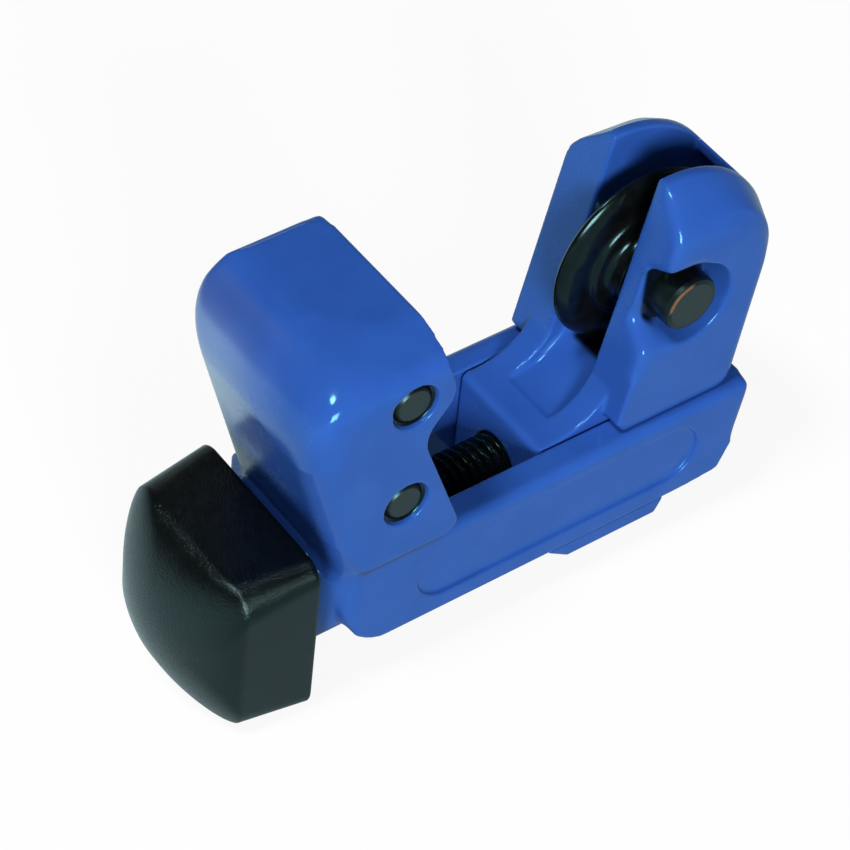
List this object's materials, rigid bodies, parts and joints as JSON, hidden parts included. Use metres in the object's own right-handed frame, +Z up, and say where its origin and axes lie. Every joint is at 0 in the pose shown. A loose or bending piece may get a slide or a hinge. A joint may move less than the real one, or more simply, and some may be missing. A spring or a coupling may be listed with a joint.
{
  "type": "mini tube cutter",
  "caption": "Mini tube cutter: C-shaped die-cast frame with two rollers, a wheel slide on a track, and a feed screw turned by a square knob.",
  "frame": {"origin": "midway between the two roller pins, on the cutter's middle plane, level with the wheel pin", "axes": "+X along the feed screw from the knob to the far end, +Y across the cutter towards its rear side, +Z up from the track to the rollers"},
  "size_m": [0.0679, 0.0218, 0.0442],
  "materials": {
    "enamel": "gloss blue enamel on a die-cast part",
    "black_steel": "black oxide, satin",
    "bright_steel": "bright turned steel",
    "knob_black": "black fine-grain paint, semi-gloss"
  },
  "bodies": {
    "frame": {"body": "enamel", "upper_roller_pin": "black_steel", "lower_roller_pin": "black_steel"},
    "upper_roller": {"upper_roller": "bright_steel"},
    "lower_roller": {"lower_roller": "bright_steel"},
    "feed": {"feed_screw": "black_steel", "knob": "knob_black", "thrust_washer": "bright_steel", "screw_clip": "black_steel"},
    "wheel_slide": {"slide": "enamel", "keeper_plate": "enamel", "keeper_screws": "bright_steel", "wheel_pin": "black_steel", "wheel_clip": "black_steel"},
    "wheel": {"cutting_wheel": "black_steel"}
  },
  "joints": [
    {"name": "knob_turn", "type": "hinge", "parent": "frame", "child": "feed", "pos_m": [0, 0, -0.021], "axis": [1, 0, 0], "range_deg": [-900, 7452]},
    {"name": "slide_travel", "type": "slide", "parent": "frame", "child": "wheel_slide", "axis": [1, 0, 0], "range_m": [-0.0207, 0.0025]},
    {"name": "wheel_spin", "type": "hinge", "parent": "wheel_slide", "child": "wheel", "pos_m": [0.03455, 0, 0], "axis": [0, 1, 0], "continuous": true},
    {"name": "upper_roller_spin", "type": "hinge", "parent": "frame", "child": "upper_roller", "pos_m": [0, 0, 0.0064], "axis": [0, 1, 0], "continuous": true},
    {"name": "lower_roller_spin", "type": "hinge", "parent": "frame", "child": "lower_roller", "pos_m": [0, 0, -0.0064], "axis": [0, 1, 0], "continuous": true}
  ],
  "couplings": [
    {"joint": "slide_travel", "follows": "knob_turn", "m_per_rad": -0.00015915}
  ]
}
